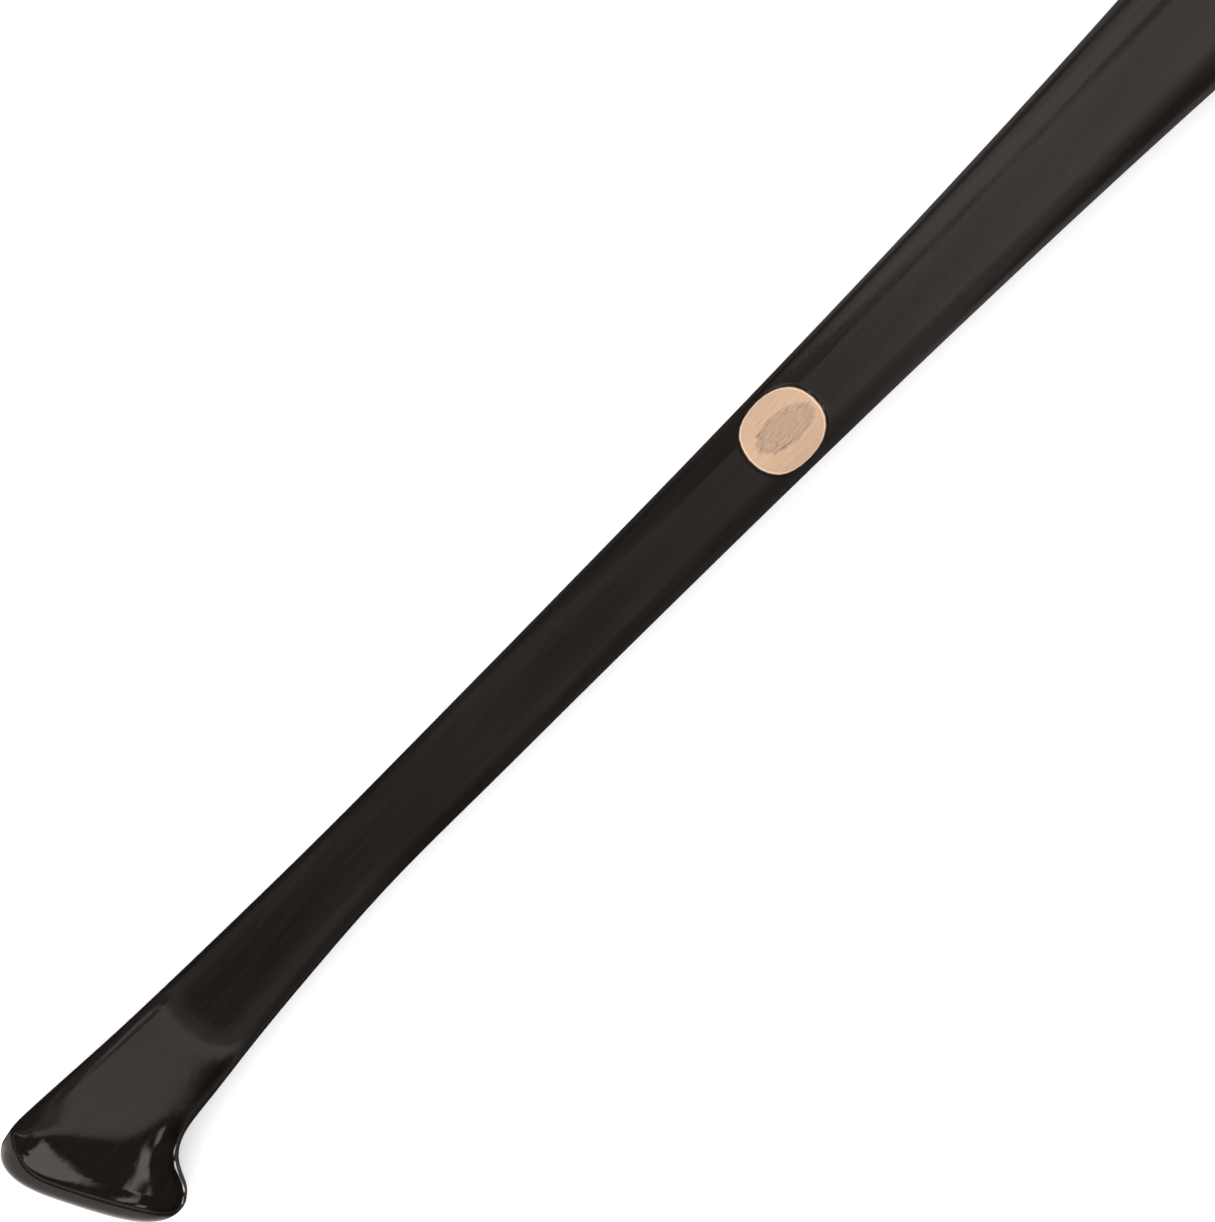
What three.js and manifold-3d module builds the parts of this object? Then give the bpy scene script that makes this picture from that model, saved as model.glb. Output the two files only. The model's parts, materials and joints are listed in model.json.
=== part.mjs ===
// A one-piece maple baseball bat with an axe-style handle, in black lacquer, lying on a flat surface.
// Millimetres. +X runs from the knob to the barrel end, +Z is up, and the knob's hook points to -Y.
// The film of lacquer is open in a round window on the upper face of the handle, around the inked
// mark that shows the slope of the grain, and at the cup in the barrel end.

import * as THREE from 'three';
import { mergeVertices } from 'three/addons/utils/BufferGeometryUtils.js';
import Module from 'manifold-3d';

// Driving dimensions of the finished bat, over the lacquer.
const BAT_LENGTH = 838.2; // 33 inches
const BARREL_RADIUS = 31.75; // a barrel of 2.5 inches
const GRIP_RADIUS = 11.4; // what the taper starts from
const TAPER_MIDDLE = 544; // where the taper is steepest, from the knob end
const TAPER_SPREAD = 108; // how gently the taper runs
const END_ROUNDING = 10;

// The handle is oval up to OVAL_END, where it starts to turn round, and round from ROUND_START.
const OVAL_END = 180;
const ROUND_START = 285;
const OVAL_THICKNESS = 0.87; // thickness of the oval as a share of its width
const OVAL_SQUARENESS = 2.5; // exponent of the superellipse; 2 is an ellipse

// The faces of the handle are this far from its middle. Towards the knob each rises in a slope.
const HANDLE_HALF = 10.33;
const FACE_SLOPE = 0.1;
const FACE_START = 66; // where the slope starts, on the axis
const FACE_TURN = THREE.MathUtils.degToRad(5); // how far the slope's line leans from square
const FACE_BLEND = 2; // how softly it starts

// The cup turned into the barrel end.
const CUP_RADIUS = 18.5;
const CUP_DEPTH = 24;

// The knob: a dome that closes the handle's flare, on a slanted base.
const KNOB_DEPTH = 9.9;
const CORNER_ROUNDNESS = 2.3; // exponent of the dome at the palm and hook corners
const FACE_ROUNDNESS = 4.5; // the same on the two flat faces, where the rim is crisper
const KNOB_SLANT = THREE.MathUtils.degToRad(25);
const FLARE_RISE = 2.1; // how far each face rises from the flare to the rim
const FLARE_CREST = 3.2; // depth of the rim's crest below the base, along most of it
const FLARE_CORNER = 3.4; // how much deeper it is where it meets the axis
const FLARE_CORNER_REACH = 8.5; // over which that fades towards the hook and grows to the palm
const FLARE_REACH = 19.5; // depth at which the rise starts, on the axis
const FLARE_REACH_SLOPE = 0.38; // how much deeper it starts towards the hook
const FLARE_BLEND = 0.06; // how softly the crest turns over

// The finish.
const FILM_THICKNESS = 0.2;
const WOOD_DEPTH = 0.3; // from the outside of the film to the wood
const WINDOW_CENTRE = 304.2; // about 12 inches from the knob end
const WINDOW_LENGTH = 25.8;
const WINDOW_WIDTH = 27; // measured round the handle
const INK_LENGTH = 20;
const INK_WIDTH = 10;
const INK_TOP = 0.1; // depth of the ink's upper and lower side below the outside of the film
const INK_BOTTOM = 0.2;

// Fineness of the meshes.
const SEGMENTS = 32;
const ROUND_STATION_STEP = 36;
const KNOB_RINGS_PER_STATION = 2;
const DOME_RINGS = 6;
const END_RINGS = 5;
const CUP_RINGS = 6;
const WINDOW_SIDES = 40;
const INK_SIDES = 24;
const INK_RINGS = 3;

// Radius of the round part of the bat. It swells from the handle like an exponential and levels
// out in the barrel.
function batRadius(x) {
  const swell = 1 - Math.exp(-Math.exp((x - TAPER_MIDDLE) / TAPER_SPREAD));
  return GRIP_RADIUS + (BARREL_RADIUS - GRIP_RADIUS) * swell;
}

// A station of the knob: the outline's point on the palm side and on the hook side, and the exponent
// of the superellipse.
const KNOB_STATIONS = [
  { palm: [3.6, 14.75], hook: [27.6, -34.6], square: 3.0 },
  { palm: [9, 15.7], hook: [30.3, -32.2], square: 3.2 },
  { palm: [15, 15.65], hook: [32, -28.9], square: 3.5 },
  { palm: [21.5, 15.3], hook: [33.8, -25.4], square: 3.8 },
  { palm: [30, 14.8], hook: [37, -22.4], square: 4.0 },
  { palm: [41, 14.15], hook: [43.5, -20.05], square: 4.0 },
  { palm: [55, 13.5], hook: [56, -18.55], square: 3.7 },
  { palm: [75, 12.9], hook: [75.5, -16.25], square: 3.1 },
  { palm: [102, 12.3], hook: [102, -13.85], square: 2.7 },
  { palm: [135, 11.9], hook: [135, -11.95], square: OVAL_SQUARENESS },
];

function roundStation(x) {
  const roundness = THREE.MathUtils.smoothstep(x, OVAL_END, ROUND_START);
  const radius = batRadius(x);
  return {
    palm: [x, radius],
    hook: [x, -radius],
    half: radius * THREE.MathUtils.lerp(OVAL_THICKNESS, 1, roundness),
    square: THREE.MathUtils.lerp(OVAL_SQUARENESS, 2, roundness),
  };
}

// All stations from the knob to the start of the rounded end, evenly spaced beyond the knob's own.
function allStations() {
  const first = KNOB_STATIONS.at(-1).palm[0];
  const last = BAT_LENGTH - END_ROUNDING;
  const count = Math.round((last - first) / ROUND_STATION_STEP);
  const stations = KNOB_STATIONS.map((station) => ({ ...station, half: HANDLE_HALF }));
  for (let i = 1; i <= count; i++) {
    stations.push(roundStation(THREE.MathUtils.lerp(first, last, i / count)));
  }
  return stations;
}

// The natural cubic spline through evenly spaced values, as a function of the station's number.
function cubicSpline(values) {
  const last = values.length - 1;
  const bend = new Array(values.length).fill(0);
  const share = new Array(values.length).fill(0);
  for (let i = 1; i < last; i++) {
    const pivot = 4 - share[i - 1];
    share[i] = 1 / pivot;
    bend[i] = (6 * (values[i + 1] - 2 * values[i] + values[i - 1]) - bend[i - 1]) / pivot;
  }
  for (let i = last - 1; i > 0; i--) {
    bend[i] -= share[i] * bend[i + 1];
  }
  return (at) => {
    const i = Math.min(Math.floor(at), last - 1);
    const b = at - i;
    const a = 1 - b;
    const curve = ((a ** 3 - a) * bend[i] + (b ** 3 - b) * bend[i + 1]) / 6;
    return a * values[i] + b * values[i + 1] + curve;
  };
}

// How much the two faces of the handle rise at a point of its outline plane, as a slope that starts
// softly at its line.
function faceRise(x, y) {
  const depth = x * Math.cos(FACE_TURN) + y * Math.sin(FACE_TURN);
  return FACE_SLOPE * FACE_BLEND * Math.log1p(Math.exp((FACE_START - depth) / FACE_BLEND));
}

// How much more they rise at the knob: a parabola that starts at the reach line and turns over at
// the crest.
function flareRise(x, y) {
  const along = x * Math.sin(KNOB_SLANT) - y * Math.cos(KNOB_SLANT);
  const depth = x * Math.cos(KNOB_SLANT) + y * Math.sin(KNOB_SLANT);
  const reach = FLARE_REACH + FLARE_REACH_SLOPE * along;
  const crest = FLARE_CREST + FLARE_CORNER * Math.exp(-along / FLARE_CORNER_REACH);
  const share = (depth - crest) / (reach - crest);
  const eased = FLARE_BLEND * Math.log1p(Math.exp(share / FLARE_BLEND));
  return FLARE_RISE * Math.max(0, 1 - eased) ** 2;
}

// Direction of a ring's point from its spine. A facet and not a corner faces straight up and down,
// so that the bat lies still on its barrel.
function ringAngle(i) {
  return (2 * Math.PI * (i + 0.5)) / SEGMENTS;
}

// Distance of the knob's faces from its middle plane.
function knobHalf(x, y) {
  return HANDLE_HALF + faceRise(x, y) + flareRise(x, y);
}

// A closed ring of points: a superellipse in polar form whose two halves reach from the spine, on
// the bat's axis, to the palm and to the hook.
function stationRing({ palm, hook, half, square }) {
  const share = palm[1] / (palm[1] - hook[1]);
  const spine = THREE.MathUtils.lerp(palm[0], hook[0], share);
  const ring = [];
  for (let i = 0; i < SEGMENTS; i++) {
    const across = Math.cos(ringAngle(i));
    const up = Math.sin(ringAngle(i));
    const reach = (Math.abs(across) ** square + Math.abs(up) ** square) ** (-1 / square);
    const side = across >= 0 ? palm : hook;
    const x = THREE.MathUtils.lerp(spine, side[0], Math.abs(across) * reach);
    const y = side[1] * Math.abs(across) * reach;
    ring.push(new THREE.Vector3(x, y, up * reach * (half + faceRise(x, y) + flareRise(x, y))));
  }
  return ring;
}

function circleRing(x, radius) {
  return stationRing({ palm: [x, radius], hook: [x, -radius], half: radius, square: 2 });
}

// The rings of the dome that closes the knob, from its middle to its widest ring, which is left
// out. Each ring is the widest one, drawn in towards its middle and pushed out along the base's
// normal, so that the two shares lie on a superellipse. Its faces go on rising to the crest.
function domeRings(widest) {
  const { palm, hook } = KNOB_STATIONS[0];
  const middle = new THREE.Vector3((palm[0] + hook[0]) / 2, (palm[1] + hook[1]) / 2, 0);
  const outward = new THREE.Vector3(hook[1] - palm[1], palm[0] - hook[0], 0).normalize();
  const rings = [];
  for (let k = 1; k <= DOME_RINGS; k++) {
    const push = Math.sin((Math.PI / 2) * (k / (DOME_RINGS + 1)));
    rings.unshift(
      widest.map((point, i) => {
        const up = Math.sin(ringAngle(i)) ** 2;
        const power = THREE.MathUtils.lerp(CORNER_ROUNDNESS, FACE_ROUNDNESS, up);
        const draw = (1 - push ** power) ** (1 / power);
        const drawn = point.clone().sub(middle).multiplyScalar(draw).add(middle)
          .addScaledVector(outward, KNOB_DEPTH * push);
        drawn.z *= knobHalf(drawn.x, drawn.y) / knobHalf(point.x, point.y);
        return drawn;
      }),
    );
  }
  return { pole: middle.addScaledVector(outward, KNOB_DEPTH), rings };
}

// The outside of the bat, from the middle of the knob's base to the inner edge of the flat rim
// around the cup, as a pole and a list of rings.
function outerSkin() {
  const stations = allStations();
  const pick = (value) => cubicSpline(stations.map(value));
  const palmX = pick((s) => s.palm[0]);
  const palmY = pick((s) => s.palm[1]);
  const hookX = pick((s) => s.hook[0]);
  const hookY = pick((s) => s.hook[1]);
  const half = pick((s) => s.half);
  const square = pick((s) => s.square);
  const rings = [];
  const knobEnd = KNOB_STATIONS.length - 1;
  const addRing = (at) => rings.push(stationRing({
    palm: [palmX(at), palmY(at)],
    hook: [hookX(at), hookY(at)],
    half: half(at),
    square: square(at),
  }));
  for (let i = 0; i < knobEnd * KNOB_RINGS_PER_STATION; i++) {
    addRing(i / KNOB_RINGS_PER_STATION);
  }
  for (let i = knobEnd; i < stations.length; i++) {
    addRing(i);
  }
  const shoulder = batRadius(BAT_LENGTH - END_ROUNDING);
  for (let k = 1; k <= END_RINGS; k++) {
    const turn = (Math.PI / 2) * (k / END_RINGS);
    const x = BAT_LENGTH - END_ROUNDING * (1 - Math.sin(turn));
    rings.push(circleRing(x, shoulder - END_ROUNDING * (1 - Math.cos(turn))));
  }
  rings.push(circleRing(BAT_LENGTH, CUP_RADIUS));
  const dome = domeRings(rings[0]);
  return { pole: dome.pole, rings: [...dome.rings, ...rings] };
}

// The same skin a given distance further in, along each point's normal.
function insetSkin({ pole, rings }, distance) {
  const inset = rings.map((ring, i) => ring.map((point, j) => {
    const next = rings[Math.min(i + 1, rings.length - 1)][j];
    const previous = i > 0 ? rings[i - 1][j] : pole;
    const along = next.clone().sub(previous);
    const around = ring[(j + 1) % SEGMENTS].clone().sub(ring[(j + SEGMENTS - 1) % SEGMENTS]);
    const inward = along.cross(around).normalize();
    return point.clone().addScaledVector(inward, distance);
  }));
  const { palm, hook } = KNOB_STATIONS[0];
  const inward = new THREE.Vector3(palm[1] - hook[1], hook[0] - palm[0], 0).normalize();
  return { pole: pole.clone().addScaledVector(inward, distance), rings: inset };
}

// A closed mesh through a pole, a list of rings and a second pole. From the ring numbered fold on
// it runs back inside the earlier rings, and its quads are split along the other diagonal so that
// both walls have the same facets.
function closedSkin(startPole, rings, endPole, fold = rings.length) {
  const points = [startPole, ...rings.flat(), endPole];
  const size = rings[0].length;
  const at = (ring, i) => 1 + ring * size + (i % size);
  const faces = [];
  for (let i = 0; i < size; i++) {
    faces.push(0, at(0, i + 1), at(0, i));
    for (let ring = 0; ring < rings.length - 1; ring++) {
      const [a, b] = [at(ring, i), at(ring, i + 1)];
      const [c, d] = [at(ring + 1, i), at(ring + 1, i + 1)];
      faces.push(...(ring < fold ? [a, b, c, b, d, c] : [a, b, d, a, d, c]));
    }
    faces.push(at(rings.length - 1, i), at(rings.length - 1, i + 1), points.length - 1);
  }
  const geometry = new THREE.BufferGeometry().setFromPoints(points);
  geometry.setIndex(faces);
  return geometry;
}

// A point on or near the handle's upper face, by its distance along the bat, its distance round
// the handle from the top, and its distance from the bat's surface there.
function onHandle(along, around, height) {
  const x = WINDOW_CENTRE + along;
  const angle = around / batRadius(x);
  const radius = batRadius(x) + height;
  return new THREE.Vector3(x, radius * Math.sin(angle), radius * Math.cos(angle));
}

// A closed patch wrapped over the handle, bounded by an ellipse and by two heights.
function wrappedPatch({ length, width, low, high, sides, ringCount }) {
  const ringAt = (share, height) => {
    const ring = [];
    for (let i = 0; i < sides; i++) {
      const angle = (2 * Math.PI * i) / sides;
      const along = (share * length * Math.cos(angle)) / 2;
      const around = (share * width * Math.sin(angle)) / 2;
      ring.push(onHandle(along, around, height));
    }
    return ring;
  };
  const rings = [];
  for (let k = 1; k <= ringCount; k++) {
    rings.push(ringAt(k / ringCount, low));
  }
  for (let k = ringCount; k >= 1; k--) {
    rings.push(ringAt(k / ringCount, high));
  }
  return closedSkin(onHandle(0, 0, low), rings, onHandle(0, 0, high));
}

const wasm = await Module();
wasm.setup();

function toSolid(geometry) {
  const bare = new THREE.BufferGeometry().setAttribute('position', geometry.attributes.position);
  bare.setIndex(geometry.index);
  const merged = mergeVertices(bare, 1e-4);
  return new wasm.Manifold(new wasm.Mesh({
    numProp: 3,
    vertProperties: new Float32Array(merged.attributes.position.array),
    triVerts: new Uint32Array(merged.index.array),
  }));
}

function toGeometry(solid) {
  const mesh = solid.getMesh();
  const geometry = new THREE.BufferGeometry();
  geometry.setAttribute('position', new THREE.BufferAttribute(mesh.vertProperties, 3));
  geometry.setIndex(new THREE.BufferAttribute(mesh.triVerts, 1));
  return geometry;
}

// The wood: the outside of the bat less the thickness of the finish, with the cup in its end.
function mapleBody(skin) {
  const wood = insetSkin(skin, WOOD_DEPTH);
  const rings = wood.rings.slice(0, -1);
  const mouth = BAT_LENGTH - WOOD_DEPTH;
  for (let k = 0; k < CUP_RINGS; k++) {
    const turn = (Math.PI / 2) * (k / CUP_RINGS);
    rings.push(circleRing(mouth - CUP_DEPTH * Math.sin(turn), CUP_RADIUS * Math.cos(turn)));
  }
  return closedSkin(wood.pole, rings, new THREE.Vector3(mouth - CUP_DEPTH, 0, 0));
}

// The lacquer: a film between the outside and an inner skin, open at the cup and at the window.
function lacquerCoat(skin) {
  const inner = insetSkin(skin, FILM_THICKNESS);
  const rings = [...skin.rings, ...inner.rings.reverse()];
  const film = toSolid(closedSkin(skin.pole, rings, inner.pole, skin.rings.length));
  const cutter = toSolid(wrappedPatch({
    length: WINDOW_LENGTH,
    width: WINDOW_WIDTH,
    low: -GRIP_RADIUS / 2,
    high: GRIP_RADIUS,
    sides: WINDOW_SIDES,
    ringCount: 1,
  }));
  return toGeometry(film.subtract(cutter));
}

function inkDot() {
  return wrappedPatch({
    length: INK_LENGTH,
    width: INK_WIDTH,
    low: -INK_BOTTOM,
    high: -INK_TOP,
    sides: INK_SIDES,
    ringCount: INK_RINGS,
  });
}

function piece(name, geometry, color, roughness) {
  const material = new THREE.MeshStandardMaterial({ color, roughness, metalness: 0 });
  const mesh = new THREE.Mesh(geometry, material);
  mesh.name = name;
  return mesh;
}

// The angle that brings the barrel's belly down to the level of the knob's lowest point.
function lyingTilt(rings) {
  const lowest = rings.map((ring) => ring.reduce((a, b) => (b.z < a.z ? b : a)));
  const knob = lowest.slice(0, DOME_RINGS + 2 * KNOB_RINGS_PER_STATION)
    .reduce((a, b) => (b.z < a.z ? b : a));
  const barrel = lowest.filter((point) => point.x > ROUND_START);
  return Math.max(...barrel.map((point) => Math.atan2(knob.z - point.z, point.x - knob.x)));
}

// The bat lies on its knob and its barrel, with the middle of its base at the origin.
function layDown(bat, tilt) {
  bat.rotation.y = -tilt;
  const lying = new THREE.Group();
  lying.add(bat);
  const box = new THREE.Box3().setFromObject(lying, true);
  const middle = box.getCenter(new THREE.Vector3());
  bat.position.set(-middle.x, -middle.y, -box.min.z);
  return lying;
}

const skin = outerSkin();
const bat = new THREE.Group();
bat.add(
  piece('maple_body', mapleBody(skin), '#d5b496', 0.55),
  piece('lacquer_coat', lacquerCoat(skin), '#191716', 0.12),
  piece('ink_dot', inkDot(), '#a08672', 0.7),
);

export default layDown(bat, lyingTilt(skin.rings));
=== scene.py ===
"""A one-piece maple baseball bat with an axe-style handle, in gloss black lacquer.

The bat lies on a pale floor with its hook to -Y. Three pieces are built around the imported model:
the maple billet, the film of lacquer with its round window, and the ink of the grain test mark.
Every length is in metres. In the bat's own space X runs along its axis from the knob end, the hook
points to -Y, and Z is the thickness.
"""

import json
import logging
import math
from dataclasses import dataclass, field
from enum import Enum
from typing import Any, Optional, Union

import bpy
import numpy as np
from mathutils import Matrix, Vector


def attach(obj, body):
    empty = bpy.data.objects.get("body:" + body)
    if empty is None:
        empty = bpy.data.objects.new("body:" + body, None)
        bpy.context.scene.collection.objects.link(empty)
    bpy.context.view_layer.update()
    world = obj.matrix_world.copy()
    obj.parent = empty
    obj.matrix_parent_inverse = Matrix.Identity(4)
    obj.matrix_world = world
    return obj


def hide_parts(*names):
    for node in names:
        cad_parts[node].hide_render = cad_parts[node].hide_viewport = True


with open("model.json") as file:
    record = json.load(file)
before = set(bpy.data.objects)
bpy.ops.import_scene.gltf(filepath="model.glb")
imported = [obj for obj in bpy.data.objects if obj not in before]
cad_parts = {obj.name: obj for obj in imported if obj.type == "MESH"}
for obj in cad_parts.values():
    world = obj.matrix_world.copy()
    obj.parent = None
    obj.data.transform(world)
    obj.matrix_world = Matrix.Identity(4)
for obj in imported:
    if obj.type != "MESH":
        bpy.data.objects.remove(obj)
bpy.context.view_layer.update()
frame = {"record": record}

MM = 0.001
TURN = 2.0 * math.pi
QUARTER = 0.5 * math.pi
log = logging.getLogger("bat")

Grid = np.ndarray
Color = tuple[float, float, float]
Edges = tuple[float, float, float, float]
Stops = tuple[tuple[float, float], ...]


class Slot(Enum):
    """The record's material slots."""

    MAPLE = "maple"
    LACQUER = "lacquer"
    INK = "ink"


# --------------------------------------------------------------------------- shape of the bat


@dataclass(frozen=True)
class Station:
    """Outline points of a cross-section of the knob, in millimetres, and its squareness."""

    palm_x: float
    palm_y: float
    hook_x: float
    hook_y: float
    square: float

    def row(self) -> list[float]:
        """The lengths in metres and the squareness as it is."""
        lengths = (self.palm_x, self.palm_y, self.hook_x, self.hook_y)
        return [length * MM for length in lengths] + [self.square]


@dataclass(frozen=True)
class FaceSlope:
    """How the two faces of the handle rise in a slope towards the knob."""

    slope: float = 0.10
    start: float = 66.0 * MM
    turn: float = math.radians(5.0)
    blend: float = 2.0 * MM

    def height(self, x: Grid, y: Grid) -> Grid:
        """Rise of a face over a point of the outline plane: a straight slope, softly started.

        Args:
            x: distance along the bat.
            y: distance towards the palm side.

        Returns:
            The rise, in metres.
        """
        depth = x * math.cos(self.turn) + y * math.sin(self.turn)
        return self.slope * self.blend * np.logaddexp(0.0, (self.start - depth) / self.blend)


@dataclass(frozen=True)
class KnobFlare:
    """How the two faces rise further to the rim of the slanted base."""

    slant: float = math.radians(25.0)
    rise: float = 2.1 * MM
    crest: float = 3.2 * MM
    corner: float = 3.4 * MM
    corner_reach: float = 8.5 * MM
    reach: float = 19.5 * MM
    reach_slope: float = 0.38
    blend: float = 0.06

    def height(self, x: Grid, y: Grid) -> Grid:
        """Rise of a face over a point of the outline plane.

        A parabola in the depth below the base, which starts at the reach line and turns over softly
        at the crest. The softening is a logistic integral. The crest is deeper at the palm, by an
        exponential of the distance along the base.

        Args:
            x: distance along the bat.
            y: distance towards the palm side.

        Returns:
            The rise, in metres.
        """
        along = x * math.sin(self.slant) - y * math.cos(self.slant)
        depth = x * math.cos(self.slant) + y * math.sin(self.slant)
        reach = self.reach + self.reach_slope * along
        crest = self.crest + self.corner * np.exp(-along / self.corner_reach)
        share = (depth - crest) / (reach - crest)
        eased = self.blend * np.logaddexp(0.0, share / self.blend)
        return self.rise * np.maximum(0.0, 1.0 - eased) ** 2


@dataclass(frozen=True)
class BatShape:
    """The outside of the bat as a surface over a station number and an angle round the axis."""

    length: float = 838.2 * MM
    barrel_radius: float = 31.75 * MM
    grip_radius: float = 11.4 * MM
    taper_middle: float = 544.0 * MM
    taper_spread: float = 108.0 * MM
    end_rounding: float = 10.0 * MM
    oval_end: float = 180.0 * MM
    round_start: float = 285.0 * MM
    oval_thickness: float = 0.87
    oval_squareness: float = 2.5
    cup_radius: float = 18.5 * MM
    cup_depth: float = 24.0 * MM
    knob_depth: float = 9.9 * MM
    corner_roundness: float = 2.3
    face_roundness: float = 4.5
    round_step: float = 36.0 * MM
    handle_half: float = 10.33 * MM
    normal_step: float = 1e-4
    lookup_size: int = 4000
    face: FaceSlope = FaceSlope()
    flare: KnobFlare = KnobFlare()
    knob: tuple[Station, ...] = (
        Station(3.6, 14.75, 27.6, -34.6, 3.0),
        Station(9.0, 15.7, 30.3, -32.2, 3.2),
        Station(15.0, 15.65, 32.0, -28.9, 3.5),
        Station(21.5, 15.3, 33.8, -25.4, 3.8),
        Station(30.0, 14.8, 37.0, -22.4, 4.0),
        Station(41.0, 14.15, 43.5, -20.05, 4.0),
        Station(55.0, 13.5, 56.0, -18.55, 3.7),
        Station(75.0, 12.9, 75.5, -16.25, 3.1),
        Station(102.0, 12.3, 102.0, -13.85, 2.7),
        Station(135.0, 11.9, 135.0, -11.95, 2.5),
    )

    def radius(self, x: Grid) -> Grid:
        """Radius of the round part: it swells like an exponential and levels out in the barrel."""
        swell = 1.0 - np.exp(-np.exp((x - self.taper_middle) / self.taper_spread))
        return self.grip_radius + (self.barrel_radius - self.grip_radius) * swell

    def station_table(self) -> Grid:
        """The stations of the knob and, evenly spaced, those of the oval and round parts.

        Returns:
            One row a station: palm x and y, hook x and y, half thickness, squareness.
        """
        rows = np.array([station.row() for station in self.knob])
        knob = np.insert(rows, 4, self.handle_half, axis=1)
        last = self.length - self.end_rounding
        count = round((last - knob[-1, 0]) / self.round_step)
        x = np.linspace(knob[-1, 0], last, count + 1)[1:]
        share = np.clip((x - self.oval_end) / (self.round_start - self.oval_end), 0.0, 1.0)
        roundness = share * share * (3.0 - 2.0 * share)
        radius = self.radius(x)
        half = radius * (self.oval_thickness + (1.0 - self.oval_thickness) * roundness)
        square = self.oval_squareness + (2.0 - self.oval_squareness) * roundness
        return np.vstack([knob, np.column_stack([x, radius, x, -radius, half, square])])

    def rise(self, x: Grid, y: Grid) -> Grid:
        """How far the two faces rise towards the knob over points of the outline plane."""
        return self.face.height(x, y) + self.flare.height(x, y)

    def knob_half(self, points: Grid) -> Grid:
        """Distance of the knob's faces from its middle plane, at the X and Y of points."""
        return self.handle_half + self.rise(points[..., 0], points[..., 1])

    def point(self, number: Grid, angle: Grid) -> Grid:
        """Points of the surface.

        A section is a superellipse in polar form about the axis. Its two halves reach from there to
        the palm and to the hook, and its thickness grows with the knob's flare.

        Args:
            number: station numbers, which need not be whole.
            angle: directions from the axis, 0 to the palm and a quarter turn to the upper face.

        Returns:
            The points in the bat's space, on a last axis of 3.
        """
        number, angle = np.broadcast_arrays(number, angle)
        palm_x, palm_y, hook_x, hook_y, half, square = np.moveaxis(
            natural_spline(self.station_table(), number), -1, 0
        )
        across, up = np.cos(angle), np.sin(angle)
        reach = (np.abs(across) ** square + np.abs(up) ** square) ** (-1.0 / square)
        spine = palm_x + (hook_x - palm_x) * palm_y / (palm_y - hook_y)
        palm_side = across >= 0.0
        share = np.abs(across) * reach
        x = spine + (np.where(palm_side, palm_x, hook_x) - spine) * share
        y = np.where(palm_side, palm_y, hook_y) * share
        return np.stack([x, y, up * reach * (half + self.rise(x, y))], axis=-1)

    def normal(self, number: Grid, angle: Grid) -> Grid:
        """Outward normals of the surface, from central differences of its points.

        Args:
            number: station numbers.
            angle: directions from the axis.

        Returns:
            Vectors of length one.
        """
        step = self.normal_step
        around = self.point(number, angle + step) - self.point(number, angle - step)
        along = self.point(number + step, angle) - self.point(number - step, angle)
        return unit(np.cross(around, along))

    def number_at(self, x: Grid) -> Grid:
        """Station numbers of distances along the bat, in the round part.

        Args:
            x: the distances.

        Returns:
            The numbers, which need not be whole.
        """
        last = len(self.station_table()) - 1
        numbers = np.linspace(len(self.knob) - 1, last, self.lookup_size)
        return np.interp(x, self.point(numbers, np.array(0.0))[..., 0], numbers)


def natural_spline(rows: Grid, at: Grid) -> Grid:
    """The natural cubic spline through evenly spaced rows.

    The bends (second derivatives) solve the tridiagonal system whose rows are 1, 4, 1; each piece
    blends its two ends linearly and adds the cubic part of the bends.

    Args:
        rows: the values to pass through, one row a station.
        at: station numbers.

    Returns:
        The interpolated rows, on a new last axis.
    """
    count = len(rows)
    system = 4.0 * np.eye(count) + np.eye(count, k=1) + np.eye(count, k=-1)
    system[0], system[-1] = np.eye(count)[0], np.eye(count)[-1]
    second = np.zeros_like(rows)
    second[1:-1] = 6.0 * (rows[2:] - 2.0 * rows[1:-1] + rows[:-2])
    bend = np.linalg.solve(system, second)
    piece = np.clip(np.floor(at).astype(int), 0, count - 2)
    b = (at - piece)[..., None]
    a = 1.0 - b
    cubic = ((a**3 - a) * bend[piece] + (b**3 - b) * bend[piece + 1]) / 6.0
    return a * rows[piece] + b * rows[piece + 1] + cubic


def unit(vectors: Grid) -> Grid:
    """Vectors of length one in the same directions."""
    return vectors / np.linalg.norm(vectors, axis=-1, keepdims=True)


class Lie:
    """How the bat lies in the frame, from the mount on the flat rim of its barrel end."""

    def __init__(self, mount: dict[str, Any], shape: BatShape) -> None:
        """Args:
            mount: the record's mount, on the rim above the cup.
            shape: the bat.
        """
        axis = np.array(mount["axis"], dtype=float)
        across = np.array([0.0, 1.0, 0.0])
        self.turn: Grid = np.column_stack([axis, across, np.cross(axis, across)])
        rim = (shape.cup_radius + shape.barrel_radius - shape.end_rounding) / 2.0
        height = round(rim / MM, 1) * MM
        self.origin: Grid = np.array(mount["pos_m"]) - self.turn @ [shape.length, 0.0, height]

    def place(self, points: Grid) -> Grid:
        """Points of the bat's space in the frame."""
        return points @ self.turn.T + self.origin

    def matrix(self, middle: Grid, turn_about_z: float = 0.0) -> Matrix:
        """Frame of a pattern: the bat's axes about a point, turned about the bat's Z.

        Args:
            middle: the point, in the bat's space.
            turn_about_z: the turn, in radians.

        Returns:
            The frame as a matrix.
        """
        spin = Matrix.Rotation(turn_about_z, 3, "Z")
        turn = (Matrix(self.turn.tolist()) @ spin).to_4x4()
        return Matrix.Translation(self.place(middle).tolist()) @ turn


# --------------------------------------------------------------------------- meshes


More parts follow.
